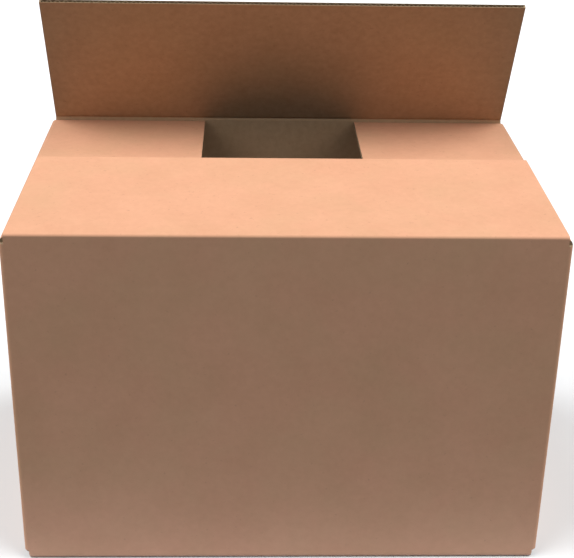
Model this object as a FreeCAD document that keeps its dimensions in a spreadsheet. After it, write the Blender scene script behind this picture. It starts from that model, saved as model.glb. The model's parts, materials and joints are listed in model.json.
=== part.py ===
import FreeCAD, Part
import Sketcher
import math
import os
import re

# Regular slotted shipping box of single-wall corrugated board, 18 x 12 x 12 inches inside.
# The front top flap is folded in over the two end flaps, and the rear top flap stands up.
# Millimetres. +Z is up, +X runs along the length and the front panel faces -Y.
# The origin is the middle of the base, on the ground.

SIZES = [
    ("box_length", "465", "outside, end face to end face"),
    ("box_width", "313", "outside, front face to rear face"),
    ("box_height", "319", "outside, with all eight flaps closed"),
    ("board", "4", "thickness of the corrugated board"),
    ("layer_gap", "0.3", "between two layers of board that lie on each other"),
    ("upright_radius", "0.5", "inside radius of the four upright folds"),
    ("crease_radius", "3", "outside radius of the folds that carry fixed flaps"),
    ("slot_inset", "4", "from an end face to the side edge of a long flap, at its fold"),
    ("slot_depth", "4", "how far the slots run past the end flaps' folds"),
    ("slot_clearance", "0.5", "between an end flap's side edge and the long panel"),
    ("flap_taper", "3", "how far each side of a long flap draws in over its length"),
    ("front_flap_taper", "5.5", "the same for the front top flap, which is cut narrower"),
    ("meeting_gap", "1", "between the free edges of two closed long flaps"),
    ("hinge_gap", "0.4", "under the mitred edge of a hinged flap"),
    ("lap_width", "35", "glued lap inside the rear right corner"),
    ("lap_slant", "9", "how far the lap's ends slope over its width"),
    ("lap_end_gap", "3", "between the lap's corners and the end flaps"),
    ("edge_setback", "1", "raw edge of the glued end panel, short of the rear face"),
    ("front_flap_lift", "3.8", "degrees that the front flap springs up from closed"),
    ("rear_flap_opening", "60", "degrees that the rear flap stands open from closed"),
    ("tape_width", "48", "sealing tape along the bottom seam"),
    ("tape_thickness", "0.1", "film and adhesive"),
    ("tape_upturn", "50", "how far the tape runs up each end panel"),
]

doc = FreeCAD.newDocument("ShippingBox")
sheet = doc.addObject("Spreadsheet::Sheet", "Sizes")
for row, (alias, number, meaning) in enumerate(SIZES, start=1):
    sheet.set(f"A{row}", alias)
    sheet.set(f"B{row}", number)
    sheet.set(f"C{row}", meaning)
    sheet.setAlias(f"B{row}", alias)
doc.recompute()

# Formulas of the sheet's aliases for the faces and folds that several features share.
END_FACE = "box_length / 2"
END_INSIDE = "(box_length / 2 - board)"
LONG_FACE = "box_width / 2"
LONG_INSIDE = "(box_width / 2 - board)"
FLAP_LENGTH = "((box_width - meeting_gap) / 2)"
LONG_FLAP_ROOT = "(box_length / 2 - slot_inset)"
LONG_FLAP_TIP = "(box_length / 2 - slot_inset - flap_taper)"
FRONT_FLAP_TIP = "(box_length / 2 - slot_inset - front_flap_taper)"
END_FLAP_SIDE = "(box_width / 2 - board - slot_clearance)"
END_FLAP_TIP = "(box_length / 2 - (box_width - meeting_gap) / 2)"
BOTTOM_FOLD = "(board + layer_gap)"
TOP_FOLD = "(box_height - board - layer_gap)"
MITRE_TOP = "(box_height - hinge_gap)"
LAP_LOW = "(2 * board + layer_gap + lap_end_gap)"
LAP_HIGH = "(box_height - 2 * board - layer_gap - lap_end_gap)"


def bind(thing, setting, formula):
    """Tie a property or a constraint to a formula of the sheet's aliases."""
    thing.setExpression(setting, re.sub(r"([a-z_]+)", r"Sizes.\1", formula))


def add_sketch(body, name, plane, offset=None):
    """Sketch on one of the body's own origin planes, or a stated distance in front of it."""
    sketch = body.newObject("Sketcher::SketchObject", name)
    support = [item for item in body.Origin.OriginFeatures if item.Role == plane]
    sketch.AttachmentSupport = [(support[0], "")]
    sketch.MapMode = "FlatFace"
    if offset:
        bind(sketch, "AttachmentOffset.Base.z", offset)
    return sketch


def place_point(sketch, edge, end, across, up):
    """Tie one end of a sketch edge to the origin by two formulas; a leading - turns a side."""
    for axis, formula in (("X", across), ("Y", up)):
        if formula == "0":
            on_axis = -2 if axis == "X" else -1
            sketch.addConstraint(Sketcher.Constraint("PointOnObject", edge, end, on_axis))
            continue
        span = (edge, end, -1, 1) if formula.startswith("-") else (-1, 1, edge, end)
        index = sketch.addConstraint(Sketcher.Constraint("Distance" + axis, *span, 1.0))
        bind(sketch, f"Constraints[{index}]", formula.lstrip("-"))


def add_outline(sketch, corners):
    """Closed straight-sided outline through the corners, each a pair of formulas."""
    first = sketch.GeometryCount
    count = len(corners)
    for step in range(count):
        start = FreeCAD.Vector(step, step * step, 0)
        finish = FreeCAD.Vector(step + 1, (step + 1) ** 2, 0)
        sketch.addGeometry(Part.LineSegment(start, finish), False)
    for step, (across, up) in enumerate(corners):
        before = first + (step - 1) % count
        sketch.addConstraint(Sketcher.Constraint("Coincident", before, 2, first + step, 1))
        place_point(sketch, first + step, 1, across, up)


def add_rectangle(sketch, left, right, low, high):
    add_outline(sketch, [(left, low), (right, low), (right, high), (left, high)])


def pad(body, name, sketch, length, symmetric=False):
    """Extrude a sketch along its normal, or equally to both sides of its plane."""
    feature = body.newObject("PartDesign::Pad", name)
    feature.Profile = sketch
    feature.SideType = "Symmetric" if symmetric else "One side"
    bind(feature, "Length", length)
    doc.recompute()
    return feature


def cut_through(body, name, sketch):
    """Cut a sketch through the whole body, to both sides of its plane."""
    before = body.Shape.Volume
    feature = body.newObject("PartDesign::Pocket", name)
    feature.Profile = sketch
    feature.SideType = "Symmetric"
    feature.Type = "ThroughAll"
    doc.recompute()
    assert body.Shape.Volume < before, f"{name} cuts nothing"
    return feature


def round_edges(body, name, radius, along, chosen):
    """Fillet every straight edge along one axis whose two ends both pass the test."""
    tip = body.Tip
    edges = []
    for number, edge in enumerate(tip.Shape.Edges, start=1):
        ends = [corner.Point for corner in edge.Vertexes]
        parallel = len(ends) == 2 and near(abs((ends[1] - ends[0]).dot(along)), edge.Length)
        if parallel and all(chosen(end) for end in ends):
            edges.append(f"Edge{number}")
    feature = body.newObject("PartDesign::Fillet", name)
    feature.Base = (tip, edges)
    bind(feature, "Radius", radius)
    doc.recompute()
    return feature


def new_body(name):
    body = doc.addObject("PartDesign::Body", name)
    body.Label = name
    return body


def near(value, target):
    """True where two lengths are the same but for rounding."""
    return math.isclose(value, target, abs_tol=1e-4)


ALONG_X = FreeCAD.Vector(1, 0, 0)
ALONG_Y = FreeCAD.Vector(0, 1, 0)
ALONG_Z = FreeCAD.Vector(0, 0, 1)
half_length = sheet.box_length / 2
half_width = sheet.box_width / 2
fold_levels = (sheet.board + sheet.layer_gap, sheet.box_height - sheet.board - sheet.layer_gap)

# ---------------------------------------------------------------------------------------
# box_shell: one die-cut sheet, folded into a tube and glued at one corner. It carries the
# four panels, the two end flaps folded in at the top and all four flaps of the bottom.
# ---------------------------------------------------------------------------------------
shell = new_body("box_shell")

# Four panels, as a tube that ends at the bottoms of the slots between the flaps.
tube_sketch = add_sketch(shell, "tube_outline", "XY_Plane", BOTTOM_FOLD + " + slot_depth")
add_rectangle(tube_sketch, "-" + END_FACE, END_FACE, "-" + LONG_FACE, LONG_FACE)
add_rectangle(tube_sketch, "-" + END_INSIDE, END_INSIDE, "-" + LONG_INSIDE, LONG_INSIDE)
pad(shell, "tube", tube_sketch, f"box_height - 2 * ({BOTTOM_FOLD} + slot_depth)")
round_edges(shell, "upright_folds", "upright_radius + board", ALONG_Z,
            lambda p: near(abs(p.x), half_length) and near(abs(p.y), half_width))
round_edges(shell, "upright_folds_inside", "upright_radius", ALONG_Z,
            lambda p: near(abs(p.x), half_length - sheet.board)
            and near(abs(p.y), half_width - sheet.board))

# The long panels run on to the folds of the long flaps, between the slots.
long_sketch = add_sketch(shell, "long_panel_outlines", "XY_Plane")
add_rectangle(long_sketch, "-" + LONG_FLAP_ROOT, LONG_FLAP_ROOT, "-" + LONG_FACE, "-" + LONG_INSIDE)
add_rectangle(long_sketch, "-" + LONG_FLAP_ROOT, LONG_FLAP_ROOT, LONG_INSIDE, LONG_FACE)
pad(shell, "long_panels", long_sketch, MITRE_TOP)

# The end panels run on to the folds of the end flaps, inside the long panels.
end_sketch = add_sketch(shell, "end_panel_outlines", "XY_Plane", BOTTOM_FOLD)
add_rectangle(end_sketch, "-" + END_FACE, "-" + END_INSIDE, "-" + END_FLAP_SIDE, END_FLAP_SIDE)
add_rectangle(end_sketch, END_INSIDE, END_FACE, "-" + END_FLAP_SIDE, END_FLAP_SIDE)
pad(shell, "end_panels", end_sketch, f"{TOP_FOLD} - {BOTTOM_FOLD}")

# Bottom: two long flaps that meet under the middle, below two end flaps.
bottom_sketch = add_sketch(shell, "bottom_long_flap_outlines", "XY_Plane")
for side in ("-", ""):
    add_outline(bottom_sketch, [
        ("-" + LONG_FLAP_ROOT, side + LONG_FACE),
        (LONG_FLAP_ROOT, side + LONG_FACE),
        (LONG_FLAP_TIP, side + "meeting_gap / 2"),
        ("-" + LONG_FLAP_TIP, side + "meeting_gap / 2"),
    ])
pad(shell, "bottom_long_flaps", bottom_sketch, "board")

# End flaps, the same at the bottom and at the top, one board's thickness inside each fold.
for name, level in (("bottom", BOTTOM_FOLD), ("top", TOP_FOLD + " - board")):
    flap_sketch = add_sketch(shell, f"{name}_end_flap_outlines", "XY_Plane", level)
    add_rectangle(flap_sketch, "-" + END_FACE, "-" + END_FLAP_TIP, "-" + END_FLAP_SIDE, END_FLAP_SIDE)
    add_rectangle(flap_sketch, END_FLAP_TIP, END_FACE, "-" + END_FLAP_SIDE, END_FLAP_SIDE)
    pad(shell, f"{name}_end_flaps", flap_sketch, "board")

round_edges(shell, "end_flap_folds", "crease_radius", ALONG_Y,
            lambda p: near(abs(p.x), half_length) and any(near(p.z, z) for z in fold_levels))
round_edges(shell, "bottom_long_folds", "crease_radius", ALONG_X,
            lambda p: near(abs(p.y), half_width) and near(p.z, 0))

# The top of each long panel is mitred, and leaves room for its hinged flap to close.
mitre_sketch = add_sketch(shell, "panel_mitres", "YZ_Plane")
for side in ("-", ""):
    add_outline(mitre_sketch, [
        (side + LONG_FACE, MITRE_TOP),
        (side + LONG_INSIDE, MITRE_TOP),
        (side + LONG_INSIDE, f"({MITRE_TOP} - board)"),
    ])
cut_through(shell, "mitres", mitre_sketch)

# Glued corner: the rear panel folds in behind the right end panel, whose raw edge stops short
# of the rear face. The round of the fold leaves a groove beside that edge.
setback_sketch = add_sketch(shell, "raw_edge_setback", "XY_Plane")
add_rectangle(setback_sketch, END_INSIDE, f"({END_FACE} + board)",
              "(box_width / 2 - edge_setback)", f"({LONG_FACE} + board)")
cut_through(shell, "raw_edge", setback_sketch)

groove_sketch = add_sketch(shell, "glued_fold_groove", "XY_Plane")
round_start = FreeCAD.Vector(half_length - sheet.board - sheet.crease_radius, half_width, 0)
square_corner = FreeCAD.Vector(half_length - sheet.board, half_width, 0)
round_finish = FreeCAD.Vector(half_length - sheet.board, half_width - sheet.crease_radius, 0)
middle = FreeCAD.Vector(round_start.x, round_finish.y, 0)
groove_sketch.addGeometry(Part.LineSegment(round_start, square_corner), False)
groove_sketch.addGeometry(Part.LineSegment(square_corner, round_finish), False)
round_of_fold = Part.ArcOfCircle(Part.Circle(middle, ALONG_Z, sheet.crease_radius), 0, math.pi / 2)
groove_sketch.addGeometry(round_of_fold, False)
groove_sketch.addConstraint(Sketcher.Constraint("Coincident", 0, 2, 1, 1))
groove_sketch.addConstraint(Sketcher.Constraint("Coincident", 1, 2, 2, 1))
groove_sketch.addConstraint(Sketcher.Constraint("Tangent", 2, 2, 0, 1))
place_point(groove_sketch, 0, 1, "(box_length / 2 - board - crease_radius)", LONG_FACE)
place_point(groove_sketch, 0, 2, END_INSIDE, LONG_FACE)
place_point(groove_sketch, 1, 2, END_INSIDE, "(box_width / 2 - crease_radius)")
cut_through(shell, "fold_groove", groove_sketch)

lap_sketch = add_sketch(shell, "glue_lap_outline", "YZ_Plane", "box_length / 2 - 2 * board")
add_outline(lap_sketch, [
    (LONG_INSIDE, LAP_LOW),
    (LONG_INSIDE, LAP_HIGH),
    ("(box_width / 2 - board - lap_width)", f"({LAP_HIGH} - lap_slant)"),
    ("(box_width / 2 - board - lap_width)", f"({LAP_LOW} + lap_slant)"),
])
pad(shell, "glue_lap", lap_sketch, "board")

bind(shell, "Placement.Base.z", "tape_thickness")


# ---------------------------------------------------------------------------------------
# front_flap, rear_flap: the long top flaps. Each hinges on the outer liner at the top edge
# of its panel, so its local origin is that edge, and inwards is the way it closes.
# ---------------------------------------------------------------------------------------
def hinged_flap(name, tip, inwards, edge, turn):
    """Long top flap drawn closed, then turned open about its fold by the formula."""
    flap = new_body(name)
    outline = add_sketch(flap, name + "_outline", "XY_Plane")
    add_outline(outline, [
        ("-" + LONG_FLAP_ROOT, "0"),
        (LONG_FLAP_ROOT, "0"),
        (tip, inwards + FLAP_LENGTH),
        ("-" + tip, inwards + FLAP_LENGTH),
    ])
    sheet_of_board = pad(flap, name + "_board", outline, "board")
    sheet_of_board.Reversed = True
    doc.recompute()
    root = add_sketch(flap, name + "_mitre", "YZ_Plane")
    add_outline(root, [("0", "0"), (inwards + "board", "-board"), ("0", "-board")])
    cut_through(flap, name + "_root", root)
    flap.Placement.Rotation = FreeCAD.Rotation(ALONG_X, 1)
    bind(flap, "Placement.Base.y", edge)
    bind(flap, "Placement.Base.z", "tape_thickness + box_height")
    bind(flap, "Placement.Rotation.Angle", turn)
    return flap


front_flap = hinged_flap("front_flap", FRONT_FLAP_TIP, "", "-" + LONG_FACE, "front_flap_lift")
rear_flap = hinged_flap("rear_flap", LONG_FLAP_TIP, "-", LONG_FACE, "-rear_flap_opening")

# ---------------------------------------------------------------------------------------
# bottom_tape: one strip over the seam of the bottom flaps. It bridges the step at the ends
# of those flaps and runs a little way up both end panels.
# ---------------------------------------------------------------------------------------
tape = new_body("bottom_tape")
tape_sketch = add_sketch(tape, "tape_side_view", "XZ_Plane")
TAPE_CORNER = f"({BOTTOM_FOLD} + tape_thickness)"
TAPE_END = "(tape_thickness + tape_upturn)"
TAPE_OUTSIDE = "(box_length / 2 + tape_thickness)"
add_outline(tape_sketch, [
    ("-" + TAPE_OUTSIDE, TAPE_END),
    ("-" + TAPE_OUTSIDE, TAPE_CORNER),
    ("-" + LONG_FLAP_ROOT, "0"),
    (LONG_FLAP_ROOT, "0"),
    (TAPE_OUTSIDE, TAPE_CORNER),
    (TAPE_OUTSIDE, TAPE_END),
    (END_FACE, TAPE_END),
    (END_FACE, TAPE_CORNER),
    (LONG_FLAP_ROOT, "tape_thickness"),
    ("-" + LONG_FLAP_ROOT, "tape_thickness"),
    ("-" + END_FACE, TAPE_CORNER),
    ("-" + END_FACE, TAPE_END),
])
pad(tape, "tape_strip", tape_sketch, "tape_width", symmetric=True)

# ---------------------------------------------------------------------------------------
# Check the document, then write one STEP file for each piece.
# ---------------------------------------------------------------------------------------
doc.recompute()
for item in doc.Objects:
    assert not {"Invalid", "Error"} & set(item.State), f"{item.Label} failed: {item.State}"

os.makedirs("parts", exist_ok=True)
for piece in (shell, front_flap, rear_flap, tape):
    shape = piece.Shape
    assert not shape.isNull() and shape.isValid(), f"{piece.Label} has no valid shape"
    assert len(shape.Solids) == 1, f"{piece.Label} is not one solid"
    shape.exportStep(os.path.join("parts", piece.Label + ".step"))
    box = shape.BoundBox
    print(f"{piece.Label}: {shape.Volume / 1000:.1f} cm3,"
          f" x {box.XMin:.2f} to {box.XMax:.2f}, y {box.YMin:.2f} to {box.YMax:.2f},"
          f" z {box.ZMin:.2f} to {box.ZMax:.2f}")
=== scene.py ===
import json
import math
import bmesh
import bpy
from bmesh.types import BMEdge, BMFace, BMVert
from mathutils import Matrix, Vector


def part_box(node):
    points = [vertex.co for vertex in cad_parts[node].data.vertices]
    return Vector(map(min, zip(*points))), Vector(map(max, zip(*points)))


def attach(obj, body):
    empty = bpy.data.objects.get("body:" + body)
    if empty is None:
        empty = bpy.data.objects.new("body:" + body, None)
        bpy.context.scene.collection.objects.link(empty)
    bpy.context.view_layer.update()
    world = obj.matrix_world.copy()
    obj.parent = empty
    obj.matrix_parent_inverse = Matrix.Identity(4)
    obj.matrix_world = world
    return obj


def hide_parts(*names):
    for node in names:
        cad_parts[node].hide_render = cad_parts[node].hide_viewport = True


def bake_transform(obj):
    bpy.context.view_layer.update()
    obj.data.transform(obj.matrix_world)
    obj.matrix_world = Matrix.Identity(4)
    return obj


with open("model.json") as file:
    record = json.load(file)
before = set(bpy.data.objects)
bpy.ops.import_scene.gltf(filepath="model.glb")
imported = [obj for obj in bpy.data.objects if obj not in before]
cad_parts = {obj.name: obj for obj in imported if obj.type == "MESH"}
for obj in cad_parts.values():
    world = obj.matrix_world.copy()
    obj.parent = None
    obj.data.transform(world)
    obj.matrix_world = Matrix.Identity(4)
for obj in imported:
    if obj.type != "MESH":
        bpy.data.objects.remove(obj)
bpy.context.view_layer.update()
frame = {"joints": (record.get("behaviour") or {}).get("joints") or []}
mm = 0.001

# ---------------------------------------------------------------------------------------
# Kraft board. The sheet has an unbleached kraft liner outside and a recycled one inside,
# both glued to a C-flute paper, whose flutes show through them as faint ridges. That paper
# is greyer and rougher, and gives its tone to every cut edge.
# ---------------------------------------------------------------------------------------
FLUTE_PITCH = 7.8 * mm
STREAK_LENGTH = 4.0 * mm
STREAK_SLENDERNESS = 2.64
FORMATION_PATCH = 5.88 * mm
CLOUD = 45.5 * mm
HUE_DRIFT = 71.4 * mm
FLECK_SPACING = 3.33 * mm
FIBRE_RELIEF = 0.12 * mm
FIBRE_CONTRAST = 0.8
CLOUD_CONTRAST = 0.4
RIDGE_SHADE_CONTRAST = 0.06
MEAN_TONE = 0.55
FLECK_BROWN = "8A6248"
OLIVE_PULP = "B29A70"


def srgb(code):
    """Linear colour of an sRGB hex code."""
    levels = [int(code[at:at + 2], 16) / 255 for at in (0, 2, 4)]
    return [((level + 0.055) / 1.055) ** 2.4 for level in levels] + [1.0]


def add_node(material, kind, inputs, **settings):
    """Add one shader node. An input is a plain value, a node, or one socket of a node."""
    node = material.node_tree.nodes.new("ShaderNode" + kind)
    for name, value in settings.items():
        setattr(node, name, value)
    for name, source in inputs.items():
        if isinstance(source, bpy.types.Node):
            source = next(output for output in source.outputs if output.enabled)
        if isinstance(source, bpy.types.NodeSocket):
            material.node_tree.links.new(source, node.inputs[name])
        else:
            node.inputs[name].default_value = source
    return node


def new_material(name):
    """Material with an empty node tree."""
    material = bpy.data.materials.new(name)
    material.use_nodes = True
    material.node_tree.nodes.clear()
    return material


def kraft_paper(name, light, dark, mottling, ridge_height):
    """Matt kraft paper between two tones. The map "sheet" runs across, then along the flutes."""
    paper = new_material(name)
    solid = add_node(paper, "TexCoord", {}).outputs["Object"]
    sheet = add_node(paper, "UVMap", {}, uv_map="sheet")

    # Fibres bunch in streaks across the flutes, about 4 mm long and 1.5 mm wide.
    streaks = (1 / STREAK_LENGTH, STREAK_SLENDERNESS / STREAK_LENGTH, 1)
    grain = add_node(paper, "Mapping", {"Vector": sheet, "Scale": streaks})
    fibre = add_node(paper, "TexNoise", {"Vector": grain, "Scale": 1, "Detail": 4,
                                         "Roughness": 0.62})
    # The pulp settles unevenly, most of all recycled pulp, in patches 2 to 6 mm across.
    formation = add_node(paper, "TexNoise", {"Vector": solid, "Scale": 1 / FORMATION_PATCH,
                                             "Detail": 3, "Roughness": 0.6})
    # The sheet is cloudy, with lighter and darker patches about 45 mm across.
    cloud = add_node(paper, "TexNoise", {"Vector": solid, "Scale": 1 / CLOUD, "Detail": 3,
                                         "Roughness": 0.55})
    # Flutes show as one ridge and one hollow for each wave of the middle paper, in the bump, and
    # in the tone as painted light and shade.
    across = add_node(paper, "SeparateXYZ", {"Vector": sheet})
    turns = add_node(paper, "Math", {0: across, 1: 2 * math.pi / FLUTE_PITCH},
                     operation="MULTIPLY")
    ridge = add_node(paper, "Math", {0: turns}, operation="SINE")

    # These add up to a tone between 0, the dark paper, and 1, the light one. Each of the three
    # noises averages a half.
    base_tone = MEAN_TONE - (FIBRE_CONTRAST + mottling + CLOUD_CONTRAST) / 2
    mottle = add_node(paper, "Math", {0: fibre, 1: FIBRE_CONTRAST, 2: base_tone},
                      operation="MULTIPLY_ADD")
    mottle = add_node(paper, "Math", {0: formation, 1: mottling, 2: mottle},
                      operation="MULTIPLY_ADD")
    mottle = add_node(paper, "Math", {0: cloud, 1: CLOUD_CONTRAST, 2: mottle},
                      operation="MULTIPLY_ADD")
    # The ridge term paints light on each flute ridge and shade in each hollow.
    tone = add_node(paper, "Math", {0: ridge, 1: RIDGE_SHADE_CONTRAST, 2: mottle},
                    operation="MULTIPLY_ADD")
    ground = add_node(paper, "Mix", {0: tone, 6: srgb(dark), 7: srgb(light)}, data_type="RGBA")
    # Pulp from many sources drifts in hue, from pinkish to olive, over about 70 mm.
    pulp = add_node(paper, "TexNoise", {"Vector": solid, "Scale": 1 / HUE_DRIFT, "Detail": 4,
                                        "Roughness": 0.6})
    drift = add_node(paper, "MapRange", {"Value": pulp, "From Min": 0.40, "From Max": 0.68,
                                         "To Min": 0, "To Max": 0.16})
    ground = add_node(paper, "Mix", {0: drift, 6: ground, 7: srgb(OLIVE_PULP)},
                      data_type="RGBA")

    # Flecks of bark and darker fibre are about 1 mm, drawn a little coarse so that they show.
    spots = add_node(paper, "TexNoise", {"Vector": solid, "Scale": 1 / FLECK_SPACING,
                                         "Detail": 2})
    fleck = add_node(paper, "MapRange", {"Value": spots, "From Min": 0.66, "From Max": 0.78,
                                         "To Min": 0, "To Max": 0.26})
    colour = add_node(paper, "Mix", {0: fleck, 6: ground, 7: srgb(FLECK_BROWN)},
                      data_type="RGBA")

    relief = add_node(paper, "Bump", {"Height": ridge, "Distance": ridge_height})
    relief = add_node(paper, "Bump", {"Height": fibre, "Distance": FIBRE_RELIEF,
                                      "Normal": relief})
    surface = add_node(paper, "BsdfPrincipled", {"Base Color": colour, "Roughness": 0.85,
                                                 "Specular IOR Level": 0.25,
                                                 "Normal": relief})
    add_node(paper, "OutputMaterial", {"Surface": surface})
    return paper


# Fresh kraft pulp is warm and even, recycled pulp duller and more mottled, and the paper of
# the flutes greyer and darker than both.
outer_liner = kraft_paper("unbleached_kraft_liner", "DDA585", "BB8666", 0.32, 0.05 * mm)
inner_liner = kraft_paper("recycled_test_liner", "D0A884", "B08964", 0.90, 0.05 * mm)
cut_paper = kraft_paper("semichemical_fluting", "A88F71", "877058", 0.32, 0.02 * mm)
BOARD_PAPERS = (outer_liner, inner_liner, cut_paper)
INSIDE = BOARD_PAPERS.index(inner_liner)
CUT = BOARD_PAPERS.index(cut_paper)

# ---------------------------------------------------------------------------------------
# Box shell. One die-cut sheet of corrugated board, folded into a tube and glued by a lap
# inside the rear right corner. The end flaps at the top and all four flaps of the bottom
# belong to the same sheet, folded in on their scored lines.
# ---------------------------------------------------------------------------------------
low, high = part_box("box_shell")
front_fold, rear_fold = frame["joints"]
END = high.x
LONG = high.y
GROUND = low.z
LID = front_fold["pos_m"][2]

# The board is drawn a hair thinner than it is, so that layers that touch share no face.
BOARD = 4.0 * mm
HAIR = 0.05 * mm
SHEET = BOARD - HAIR
LINER = 0.4 * mm

# As it is cut, each flap is narrower than its panel by the slots, its clearance or its taper.
SLOT = 4.0 * mm
SIDE_CLEARANCE = 0.5 * mm
TAPER = 3.0 * mm
RAW_EDGE_SETBACK = 1.0 * mm
LAP_WIDTH = 35.0 * mm
LAP_SLANT = 11.5 * mm

# As it is folded, the long flaps lie just outside the end flaps and meet at a narrow seam. A
# crushed top fold reaches as far as SCORE from its line.
FOLD_RADIUS = 4.4 * mm
FOLD_STEPS = 10
SLOT_PAST_FOLD = 0.1 * mm
LAYER_GAP = 0.3 * mm
SEAM = 1.0 * mm
FLAP = LONG - SEAM / 2
SCORE = 7.0 * mm

# Cut edges are open between the liners, deeper across the flutes than along them. A flap's
# long sides are wider than WIDE_CUT, and the small cuts beside its folds are not.
FLUTE_DEPTH = 6.0 * mm
GROOVE_DEPTH = 1.4 * mm
WIDE_CUT = 500 * mm ** 2

TOLERANCE = 0.02 * mm


def lies(value, place):
    """True where a coordinate is at the given place."""
    return abs(value - place) < TOLERANCE


def edges_where(bm, test):
    """Edges of a mesh whose two ends both pass the test."""
    return [edge for edge in bm.edges if all(test(vert.co) for vert in edge.verts)]


def only(kind, geometry):
    """The items of one kind among the corners, edges and faces that an operator returns."""
    return [item for item in geometry if isinstance(item, kind)]


def cut_across(bm, point, normal):
    """Divide the faces that a plane crosses."""
    bmesh.ops.bisect_plane(bm, geom=bm.verts[:] + bm.edges[:] + bm.faces[:],
                           dist=0.001 * mm, plane_co=point, plane_no=normal)


def bend(bm, edges, centre, axis, angle):
    """Carry the sheet on round one scored fold, and return the last row of edges."""
    turn = bmesh.ops.spin(bm, geom=edges, cent=centre, axis=axis, angle=angle,
                          steps=FOLD_STEPS)
    return only(BMEdge, turn["geom_last"])


def run_on(bm, edges, way):
    """Carry the sheet straight on from a row of edges, and return its new corners."""
    corners = only(BMVert, bmesh.ops.extrude_edge_only(bm, edges=edges)["geom"])
    bmesh.ops.translate(bm, verts=corners, vec=way)
    return corners


def looks_sideways(face):
    """True for a face at the left or right end of a board."""
    return abs(face.normal.x) > 0.9


def cut_edge(faces):
    """Give the faces the torn, greyer tone of a cut through the board."""
    for face in faces:
        face.material_index = CUT


def hollow_edge(bm, rims, depth):
    """Open the board between its two liners, behind the given cut edges."""
    cut_edge(rims)
    bmesh.ops.inset_region(bm, faces=rims, thickness=LINER, use_even_offset=True,
                           use_boundary=True)
    floors = only(BMFace, bmesh.ops.extrude_face_region(bm, geom=rims)["geom"])
    bmesh.ops.delete(bm, geom=rims, context="FACES")
    bm.normal_update()
    ways = {vert: floor.normal.copy() for floor in floors for vert in floor.verts}
    for vert, way in ways.items():
        vert.co -= depth * way


def line_inside(faces, way):
    """Give the faces that look the given way the liner of the inside of the board."""
    for face in faces:
        if face.normal.dot(way) > 0.5:
            face.material_index = INSIDE


WIDEST_FACET = 1.2 * mm
SHARP = math.radians(30)


def round_off(bm):
    """Shade each run of narrow faces, such as a folded round, as one smooth curve."""
    narrow = {}
    for face in bm.faces:
        length = max(edge.calc_length() for edge in face.edges)
        narrow[face] = face.calc_area() < WIDEST_FACET * length
        face.smooth = narrow[face]
    for edge in bm.edges:
        sides = edge.link_faces
        edge.smooth = (len(sides) == 2 and all(narrow[face] for face in sides)
                       and edge.calc_face_angle(math.pi) < SHARP)


def finish_piece(bm, name, materials, body):
    """Make the mesh an object with the given finishes. It rides on a body, if one is given."""
    round_off(bm)
    mesh = bpy.data.meshes.new(name)
    bm.to_mesh(mesh)
    bm.free()
    piece = bpy.data.objects.new(name, mesh)
    bpy.context.scene.collection.objects.link(piece)
    for material in materials:
        mesh.materials.append(material)
    if body:
        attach(piece, body)
    return piece


# The wall of the tube: five straight stretches, from the raw edge of the right end panel
# round to the glued lap. It starts as tall as the whole box.
outline = [(END, LONG - RAW_EDGE_SETBACK), (END, -LONG), (-END, -LONG), (-END, LONG),
           (END - BOARD, LONG), (END - BOARD, LONG - BOARD - LAP_WIDTH)]
shell = bmesh.new()
feet = [shell.verts.new((x, y, GROUND)) for x, y in outline]
base = [shell.edges.new(pair) for pair in zip(feet, feet[1:])]
run_on(shell, base, (0, 0, LID - GROUND))
upright = [edge for edge in shell.edges if lies(edge.verts[0].co.x, edge.verts[1].co.x)
           and lies(edge.verts[0].co.y, edge.verts[1].co.y) and len(edge.link_faces) == 2]
bmesh.ops.bevel(shell, geom=upright, offset=FOLD_RADIUS, affect="EDGES",
                segments=FOLD_STEPS, profile=0.5, material=-1)

# Slots are cut in from both ends of the tube at each corner, between the flaps.
END_FOLD_LOW = GROUND + BOARD + LAYER_GAP + FOLD_RADIUS
END_FOLD_HIGH = LID - BOARD - LAYER_GAP - FOLD_RADIUS
SLOT_LOW = END_FOLD_LOW + SLOT_PAST_FOLD
SLOT_HIGH = END_FOLD_HIGH - SLOT_PAST_FOLD
END_FLAP_SIDE = LONG - BOARD - SIDE_CLEARANCE
ROOT = END - SLOT
for z in (SLOT_LOW, SLOT_HIGH):
    cut_across(shell, (0, 0, z), (0, 0, 1))
for x in (ROOT, -ROOT):
    cut_across(shell, (x, 0, 0), (1, 0, 0))
for y in (END_FLAP_SIDE, -END_FLAP_SIDE):
    cut_across(shell, (0, y, 0), (0, 1, 0))
waste = []
for face in shell.faces:
    middle = face.calc_center_median()
    in_tube = SLOT_LOW < middle.z < SLOT_HIGH
    on_long_panel = lies(abs(middle.y), LONG) and abs(middle.x) < ROOT
    on_end_panel = lies(abs(middle.x), END) and abs(middle.y) < END_FLAP_SIDE
    if not (in_tube or on_long_panel or on_end_panel):
        waste.append(face)
bmesh.ops.delete(shell, geom=waste, context="FACES")

# Beside the slots the rear panel doesn't turn into the lap. It runs on flat to the slot.
LAP_FOLD = END - BOARD - FOLD_RADIUS
panel_side = edges_where(shell, lambda co: lies(co.x, LAP_FOLD) and lies(co.y, LONG))
short_sides = [edge for edge in panel_side if edge.calc_length() < LID / 2]
run_on(shell, short_sides, (ROOT - LAP_FOLD, 0, 0))

# Each panel ends where its folds begin, and the ends of the lap are cut at a slant.
for vert in shell.verts:
    on_end = lies(abs(vert.co.x), END)
    if lies(vert.co.z, LID):
        vert.co.z = END_FOLD_HIGH if on_end else LID - SCORE
    elif lies(vert.co.z, GROUND):
        vert.co.z = END_FOLD_LOW if on_end else GROUND + FOLD_RADIUS
    elif lies(vert.co.y, LONG - BOARD - LAP_WIDTH):
        vert.co.z += LAP_SLANT if vert.co.z < LID / 2 else -LAP_SLANT

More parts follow.
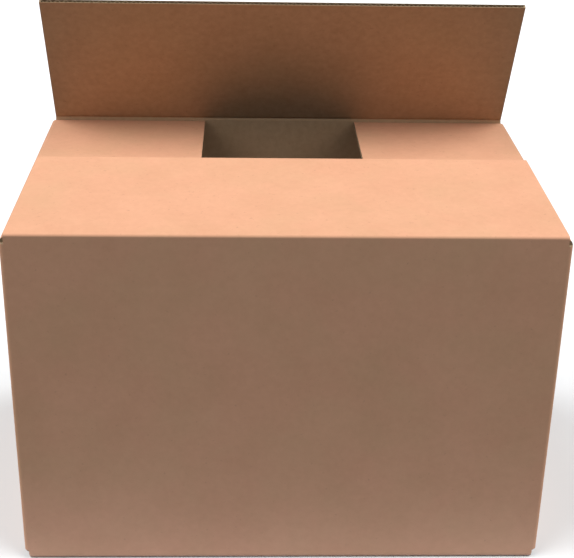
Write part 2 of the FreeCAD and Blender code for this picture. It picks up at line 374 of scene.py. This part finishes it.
# Flaps fold in: end flaps at the bottom and at the top, then the long bottom flaps.
for side in (-1, 1):
    for level, upward in ((END_FOLD_LOW, -1), (END_FOLD_HIGH, 1)):
        row = edges_where(shell, lambda co: lies(co.x, side * END) and lies(co.z, level))
        row = bend(shell, row, (side * (END - FOLD_RADIUS), 0, level), (0, 1, 0),
                   -side * upward * math.pi / 2)
        run_on(shell, row, (-side * (FLAP - FOLD_RADIUS), 0, 0))
    row = edges_where(shell, lambda co: lies(co.y, side * LONG)
                      and lies(co.z, GROUND + FOLD_RADIUS))
    row = bend(shell, row, (0, side * (LONG - FOLD_RADIUS), GROUND + FOLD_RADIUS), (1, 0, 0),
               -side * math.pi / 2)
    tip = run_on(shell, row, (0, -side * (FLAP - FOLD_RADIUS), 0))
    bmesh.ops.scale(shell, verts=tip, vec=((ROOT - TAPER) / ROOT, 1, 1))

# The sheet takes its thickness inwards from the outer liner.
bmesh.ops.recalc_face_normals(shell, faces=shell.faces)
front_face = next(face for face in shell.faces if lies(face.calc_center_median().y, -LONG))
if front_face.normal.y > 0:
    bmesh.ops.reverse_faces(shell, faces=shell.faces)
outside = set(shell.faces)
inside = only(BMFace, bmesh.ops.solidify(shell, geom=shell.faces[:], thickness=SHEET)["geom"])
for face in inside:
    face.material_index = INSIDE
cut_edge(set(shell.faces) - outside - set(inside))

# The long cut edges are open: the tips of the end flaps, across the flutes, and along them
# the sides of the bottom flaps and the raw edge at the glued corner.
END_TIP = END - FLAP
shell.normal_update()
tips = [face for face in shell.faces if lies(abs(face.calc_center_median().x), END_TIP)]
hollow_edge(shell, tips, FLUTE_DEPTH)
sides = [face for face in shell.faces if looks_sideways(face) and face.calc_area() > WIDE_CUT
         and face.calc_center_median().z < GROUND + BOARD]
raw_edge = [face for face in shell.faces
            if lies(face.calc_center_median().y, LONG - RAW_EDGE_SETBACK)]
hollow_edge(shell, sides + raw_edge, GROOVE_DEPTH)

# The top of each long panel is crushed round the line of its fold, which lies on the outer
# liner. Sections of the folds are drawn as distances inwards and up from that line. In
# section the board ends in an arc of radius KNUCKLE about the line and an outer round of
# radius CORNER, and it lies SKIN below the face of the outer liner. The inner liner is
# pressed in along the crease, where the rear panel and its flap now meet.
KNUCKLE = 3.6 * mm
CORNER = 2.2 * mm
SKIN = 0.35 * mm
SKIN_ANGLE = math.degrees(math.asin(SKIN / KNUCKLE))
REAR_OPENING = -rear_fold["range_deg"][0]
CREASE_ANGLE = (90 - REAR_OPENING) / 2
CREASE_DEPTH = 0.5 * mm
CREASE_HALF_WIDTH = 2.4 * mm
crease_floor = (SHEET - CREASE_DEPTH, -SHEET * math.tan(math.radians(CREASE_ANGLE)))
crease_lip = (SHEET, crease_floor[1] - CREASE_HALF_WIDTH)


def arc(centre, radius, start, finish):
    """Points along an arc of a section, from one direction to another in degrees."""
    turns = [math.radians(start + (finish - start) * step / FOLD_STEPS)
             for step in range(FOLD_STEPS + 1)]
    return [(centre[0] + radius * math.cos(turn), centre[1] + radius * math.sin(turn))
            for turn in turns]


def along_fold(section, half_length, side):
    """Closed mesh of one section, run along the fold of the front (-1) or rear (1) flap."""
    bm = bmesh.new()
    face = bm.faces.new([bm.verts.new((-half_length, side * (LONG - inward), LID + up))
                         for inward, up in section])
    far = only(BMVert, bmesh.ops.extrude_face_region(bm, geom=[face])["geom"])
    bmesh.ops.translate(bm, verts=far, vec=(2 * half_length, 0, 0))
    bmesh.ops.recalc_face_normals(bm, faces=bm.faces)
    if bm.calc_volume(signed=True) < 0:
        bmesh.ops.reverse_faces(bm, faces=bm.faces)
    return bm


def take_in(bm, part):
    """Add a finished part to a piece's mesh."""
    scrap = bpy.data.meshes.new("scrap")
    part.to_mesh(scrap)
    part.free()
    bm.from_mesh(scrap)
    bpy.data.meshes.remove(scrap)


crushed_round = ([crease_lip, crease_floor] + arc((0, 0), KNUCKLE, -CREASE_ANGLE, -SKIN_ANGLE)
                 + arc((CORNER, -CORNER), CORNER - SKIN, 90, 180))
panel_top = [(SHEET, -SCORE)] + crushed_round + [(SKIN, -SCORE)]
for side in (-1, 1):
    top = along_fold(panel_top, ROOT, side)
    line_inside(top.faces, Vector((0, -side, 0)))
    cut_edge(face for face in top.faces if looks_sideways(face))
    take_in(shell, top)


def map_sheet(bm, x_is_across=lambda middle: True):
    """Map "sheet": metres across the flutes, then metres along them."""
    sheet = bm.loops.layers.uv.verify()
    for face in bm.faces:
        x_across = x_is_across(face.calc_center_median())
        for loop in face.loops:
            x, y, z = loop.vert.co
            loop[sheet].uv = (x, y + z) if x_across else (y, x + z)


def on_long_board(middle):
    """True on the front and rear panels and on the bottom long flaps."""
    return abs(middle.y) > LONG - BOARD or middle.z < GROUND + BOARD


map_sheet(shell, on_long_board)
piece = finish_piece(shell, "box_shell_board", BOARD_PAPERS, "box")
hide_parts("box_shell")

# ---------------------------------------------------------------------------------------
# Fluting. The wavy middle paper of the board, seen between the liners at the cut edges.
# It is glued to both of them at its crests.
# ---------------------------------------------------------------------------------------
MIDDLE_PAPER = 0.3 * mm
WAVE = (SHEET - 2 * LINER - MIDDLE_PAPER) / 2
WAVE_STEPS = 12
RIM_SETBACK = 0.4 * mm
END_SETBACK = 0.1 * mm


def fluting(edge_length):
    """Strip of middle paper for an open edge of the given length, its waves along X."""
    strip = bmesh.new()
    length = edge_length - 2 * END_SETBACK
    depth = FLUTE_DEPTH - 2 * RIM_SETBACK
    steps = round(length / FLUTE_PITCH * WAVE_STEPS)
    bmesh.ops.create_grid(strip, x_segments=steps, y_segments=1, size=0.5)
    for vert in strip.verts:
        x = vert.co.x * length
        vert.co = (x, vert.co.y * depth, WAVE * math.sin(2 * math.pi * x / FLUTE_PITCH))
    bmesh.ops.solidify(strip, geom=strip.faces[:], thickness=MIDDLE_PAPER)
    rise = (max(vert.co.z for vert in strip.verts) + min(vert.co.z for vert in strip.verts)) / 2
    bmesh.ops.translate(strip, verts=strip.verts, vec=(0, 0, -rise))
    map_sheet(strip)
    return strip


flutes = bmesh.new()
for side in (-1, 1):
    for level in (GROUND + LAYER_GAP + BOARD + SHEET / 2, LID - LAYER_GAP - BOARD - SHEET / 2):
        strip = fluting(2 * (END_FLAP_SIDE - LINER))
        bmesh.ops.rotate(strip, verts=strip.verts, matrix=Matrix.Rotation(math.pi / 2, 3, "Z"))
        bmesh.ops.translate(strip, verts=strip.verts,
                            vec=(side * (END_TIP + FLUTE_DEPTH / 2), 0, level))
        take_in(flutes, strip)
finish_piece(flutes, "box_shell_fluting", [cut_paper], "box")

# ---------------------------------------------------------------------------------------
# Front and rear flaps. The long top flaps of the same sheet, hinged on their scored folds.
# Each is modelled closed, narrowed a little to its free edge, then turned to where it rests.
# ---------------------------------------------------------------------------------------
FRONT_TAPER = 5.5 * mm
flap_root = [(-up, -inward) for inward, up in crushed_round]
flap_section = [(SCORE, -SKIN), (SCORE, 0), (FLAP, 0), (FLAP, -SHEET)] + flap_root

# Layers that end side by side at the slots are each a little shorter, so no two ends coincide.
END_STEP = 0.1 * mm
OUTER_HALF = ROOT - END_STEP
FLAP_HALF = ROOT - 2 * END_STEP
INNER_HALF = ROOT - 3 * END_STEP

# The crushed inner liner starts on the round of the panel, a tenth of a radian below the
# level of the fold. Its two faces lie this deep in the round.
BRIDGE_LEAN = -0.1
BRIDGE_DEPTHS = (0.1 * mm, 0.4 * mm)


def swing(section, angle):
    """Turn points of a section open about the line of the fold."""
    return [(inward * math.cos(angle) - up * math.sin(angle),
             inward * math.sin(angle) + up * math.cos(angle)) for inward, up in section]


for name, side, taper, joint in (("front", -1, FRONT_TAPER, front_fold),
                                 ("rear", 1, TAPER, rear_fold)):
    opening = math.radians(-joint["range_deg"][0])
    line = Vector((0, side * LONG, LID))
    turn = Matrix.Rotation(-side * opening, 3, "X")

    # The board of the flap is open between its liners at the free edge and the sides.
    flap = along_fold(flap_section, FLAP_HALF, side)
    cut_across(flap, (0, side * (LONG - SCORE), 0), (0, 1, 0))
    for vert in flap.verts:
        vert.co.x *= 1 - taper / ROOT * max(0, abs(vert.co.y - side * LONG) - SCORE) / FLAP
    flap.normal_update()
    line_inside(flap.faces, Vector((0, 0, -1)))
    cut_edge(face for face in flap.faces if looks_sideways(face))
    free_edge = [face for face in flap.faces
                 if lies(face.calc_center_median().y, side * (LONG - FLAP))]
    hollow_edge(flap, free_edge, FLUTE_DEPTH)
    cut_sides = [face for face in flap.faces
                 if looks_sideways(face) and face.calc_area() > WIDE_CUT]
    hollow_edge(flap, cut_sides, GROOVE_DEPTH)
    map_sheet(flap)
    bmesh.ops.rotate(flap, verts=flap.verts, cent=line, matrix=turn)
    piece = finish_piece(flap, name + "_flap_board", BOARD_PAPERS,
                         name + "_flap")
    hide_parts(name + "_flap")

    # Its fluting shows along the free edge.
    strip = fluting(2 * (FLAP_HALF - taper - LINER))
    bmesh.ops.translate(strip, verts=strip.verts,
                        vec=(0, side * (LONG - FLAP + FLUTE_DEPTH / 2), LID - SHEET / 2))
    bmesh.ops.rotate(strip, verts=strip.verts, cent=line, matrix=turn)
    finish_piece(strip, name + "_flap_fluting", [cut_paper], name + "_flap")

    # The outer liner runs round the fold in one piece, and turns by a growing share of the
    # opening on its way from the panel to the flap.
    outer_face = [(0, -SCORE)] + arc((CORNER, -CORNER), CORNER, 180, 90) + [(SCORE, 0)]
    thin = SKIN - HAIR
    glued_face = ([(SCORE, -thin)] + arc((CORNER, -CORNER), CORNER - thin, 90, 180)
                  + [(thin, -SCORE)])
    section = []
    for inward, up in outer_face + glued_face:
        share = min(1, max(0, (inward + up + CORNER) / (2 * CORNER)))
        share = share * share * (3 - 2 * share)
        section += swing([(inward, up)], share * opening)
    liner = along_fold(section, OUTER_HALF, side)
    map_sheet(liner)
    piece = finish_piece(liner, name + "_fold_liner", [outer_liner], None)
    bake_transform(piece)

    # The inner liner is crushed into the fold and bridges it, from the round of the panel to the
    # flap at the opening it is turned to here.
    bridge = [(KNUCKLE - depth) * Vector((math.cos(BRIDGE_LEAN), math.sin(BRIDGE_LEAN)))
              for depth in BRIDGE_DEPTHS]
    far_bridge = swing([(-up, -inward) for inward, up in reversed(bridge)], opening)
    liner = along_fold([tuple(point) for point in bridge] + far_bridge, INNER_HALF, side)
    map_sheet(liner)
    piece = finish_piece(liner, name + "_fold_inner_liner", [inner_liner], None)
    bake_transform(piece)

# ---------------------------------------------------------------------------------------
# Bottom tape. A strip of tan polypropylene packing tape seals the seam of the bottom flaps.
# It is glossy, runs up both end panels, and its ends are cut by a toothed blade. The film is
# drawn a little thinner than the tape, so that it clears the board.
# ---------------------------------------------------------------------------------------
TAPE = 0.1 * mm
FILM = 0.09 * mm
TAPE_HALF = 24.0 * mm
TAPE_UPTURN = 50.0 * mm
TOOTH = 0.75 * mm
TOOTH_DEPTH = 0.9 * mm
STUCK_PATCH = 7.7 * mm
FILM_RELIEF = 0.25 * mm
FLAT_PAST_FLAP = 0.3 * mm
FLAT_END = ROOT - TAPER + FLAT_PAST_FLAP


def tape_film():
    """Glossy film. It lies tight on the ridges of the board and looks darker there."""
    film = new_material("tan_polypropylene_film")
    solid = add_node(film, "TexCoord", {}).outputs["Object"]
    axes = add_node(film, "SeparateXYZ", {"Vector": solid})
    turns = add_node(film, "Math", {0: axes.outputs["Y"], 1: 2 * math.pi / FLUTE_PITCH},
                     operation="MULTIPLY")
    ridge = add_node(film, "Math", {0: turns}, operation="SINE")
    patch = add_node(film, "TexNoise", {"Vector": solid, "Scale": 1 / STUCK_PATCH,
                                        "Detail": 3})
    stuck = add_node(film, "Math", {0: ridge, 1: 0.12, 2: patch}, operation="MULTIPLY_ADD")
    hold = add_node(film, "MapRange", {"Value": stuck, "From Min": 0.40, "From Max": 0.62})
    colour = add_node(film, "Mix", {0: hold, 6: srgb("B98C63"), 7: srgb("A67A52")},
                      data_type="RGBA")
    relief = add_node(film, "Bump", {"Height": stuck, "Distance": FILM_RELIEF})
    surface = add_node(film, "BsdfPrincipled", {"Base Color": colour, "Roughness": 0.24,
                                                "IOR": 1.5, "Normal": relief})
    add_node(film, "OutputMaterial", {"Surface": surface})
    return film


# Side view of one half: flat under the seam, straight over the step beside the long flaps,
# round the fold of the end flap and up the panel.
fold_middle = Vector((END - FOLD_RADIUS, END_FOLD_LOW))
bend_radius = FOLD_RADIUS + TAPE
leave = Vector((FLAT_END, 0)) - fold_middle
touch = math.degrees(math.atan2(leave.y, leave.x) + math.acos(bend_radius / leave.length))
half = ([(FLAT_END, 0)] + arc(fold_middle, bend_radius, touch, 0)
        + [(END + TAPE, TAPE_UPTURN)])
path = [(-x, z) for x, z in reversed(half)] + half
tape = bmesh.new()
row = [tape.verts.new((x, -TAPE_HALF, z)) for x, z in path]
row = [tape.edges.new(pair) for pair in zip(row, row[1:])]
for tooth in range(round(2 * TAPE_HALF / TOOTH)):
    moved = run_on(tape, row, (0, TOOTH, 0))
    row = [edge for edge in tape.edges if all(vert in moved for vert in edge.verts)]
for vert in tape.verts:
    column = round((vert.co.y + TAPE_HALF) / TOOTH)
    if lies(vert.co.z, TAPE_UPTURN) and column % 2:
        vert.co.z -= TOOTH_DEPTH
bmesh.ops.recalc_face_normals(tape, faces=tape.faces)
underside = min(tape.faces, key=lambda face: face.calc_center_median().z)
if underside.normal.z > 0:
    bmesh.ops.reverse_faces(tape, faces=tape.faces)
bmesh.ops.solidify(tape, geom=tape.faces[:], thickness=FILM)
piece = finish_piece(tape, "bottom_tape_film", [tape_film()], "box")
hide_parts("bottom_tape")

# ---------------------------------------------------------------------------------------
# Studio: a pale floor, a large soft lamp above each side and a little to the front, a dim
# surround, and the camera.
# ---------------------------------------------------------------------------------------
FLOOR_RADIUS = 9.0
PALE_TO = 20.0 * mm
DIM_FROM = 120.0 * mm

# The floor is pale to the eye and in gloss. The light that it throws back on the box comes
# from close by, as off a small sheet of paper: further out it throws back little.
floor_paint = new_material("pale_floor_paint")
floor_rays = add_node(floor_paint, "LightPath", {})
seen = add_node(floor_paint, "Math", {0: floor_rays.outputs["Is Camera Ray"],
                                      1: floor_rays.outputs["Is Glossy Ray"]},
                operation="MAXIMUM")
place = add_node(floor_paint, "TexCoord", {}).outputs["Object"]
from_middle = add_node(floor_paint, "VectorMath", {0: place}, operation="ABSOLUTE")
beyond = add_node(floor_paint, "VectorMath", {0: from_middle, 1: (END, LONG, 0)},
                  operation="SUBTRACT")
axes = add_node(floor_paint, "SeparateXYZ", {"Vector": beyond})
distance = add_node(floor_paint, "Math", {0: axes.outputs["X"], 1: axes.outputs["Y"]},
                    operation="MAXIMUM")
bounce = add_node(floor_paint, "MapRange", {"Value": distance, "From Min": PALE_TO,
                                            "From Max": DIM_FROM})
bounce_tone = add_node(floor_paint, "Mix", {0: bounce, 6: srgb("C0D2EA"), 7: srgb("424F55")},
                       data_type="RGBA")
floor_tone = add_node(floor_paint, "Mix", {0: seen, 6: bounce_tone, 7: srgb("E6E6E6")},
                      data_type="RGBA")
floor_surface = add_node(floor_paint, "BsdfDiffuse", {"Color": floor_tone})
add_node(floor_paint, "OutputMaterial", {"Surface": floor_surface})
floor_mesh = bmesh.new()
bmesh.ops.create_circle(floor_mesh, cap_ends=True, segments=64, radius=FLOOR_RADIUS)
floor_sheet = bpy.data.meshes.new("floor")
floor_mesh.to_mesh(floor_sheet)
floor_mesh.free()
floor_sheet.materials.append(floor_paint)
floor = bpy.data.objects.new("floor", floor_sheet)
bpy.context.scene.collection.objects.link(floor)

# One lamp by itself lights white paper that faces it to about SOFTBOX_LEVEL.
SOFTBOX_LEVEL = 0.95
SOFTBOX_SPREAD = math.radians(60)
TO_FRONT = math.radians(4)
TO_SIDE = math.radians(40)
for name, side in (("left_softbox", -1), ("right_softbox", 1)):
    lamp = bpy.data.lights.new(name, "SUN")
    lamp.energy = SOFTBOX_LEVEL * math.pi
    lamp.angle = SOFTBOX_SPREAD
    lamp_object = bpy.data.objects.new(name, lamp)
    lamp_object.rotation_euler = (TO_FRONT, side * TO_SIDE, 0)
    bpy.context.scene.collection.objects.link(lamp_object)

# The surround is white to the eye and in gloss, and adds only a dim, cool light.
world = bpy.data.worlds.new("surround")
bpy.context.scene.world = world
world.use_nodes = True
world.node_tree.nodes.clear()
world_rays = add_node(world, "LightPath", {})
direct = add_node(world, "Math", {0: world_rays.outputs["Is Camera Ray"],
                                  1: world_rays.outputs["Is Glossy Ray"]},
                  operation="MAXIMUM")
direct = add_node(world, "Math", {0: direct, 1: world_rays.outputs["Is Transmission Ray"]},
                  operation="MAXIMUM")
strength = add_node(world, "MapRange", {"Value": direct, "To Min": 0.15, "To Max": 1.0})
tint = add_node(world, "Mix", {0: direct, 6: srgb("BEE9FF"), 7: srgb("FFFFFF")},
                data_type="RGBA")
surround = add_node(world, "Background", {"Color": tint, "Strength": strength})
add_node(world, "OutputWorld", {"Surface": surround})

# The camera stands in front, near the middle of the box, and looks down on it.
CAMERA_PLACE = (-34.0 * mm, -1081.8 * mm, 714.5 * mm)
CAMERA_TURN = math.radians(-2.08)
CAMERA_DOWN = math.radians(25.10)
CAMERA_ROLL = math.radians(1.13)
camera = bpy.data.cameras.new("camera")
camera.sensor_width = 36.0
camera.lens = 78.55
camera_object = bpy.data.objects.new("camera", camera)
bpy.context.scene.collection.objects.link(camera_object)
camera_object.matrix_world = (Matrix.Translation(CAMERA_PLACE)
                              @ Matrix.Rotation(CAMERA_TURN, 4, "Z")
                              @ Matrix.Rotation(math.pi / 2 - CAMERA_DOWN, 4, "X")
                              @ Matrix.Rotation(CAMERA_ROLL, 4, "Z"))
bpy.context.scene.camera = camera_object
bpy.context.scene.view_settings.view_transform = "Standard"
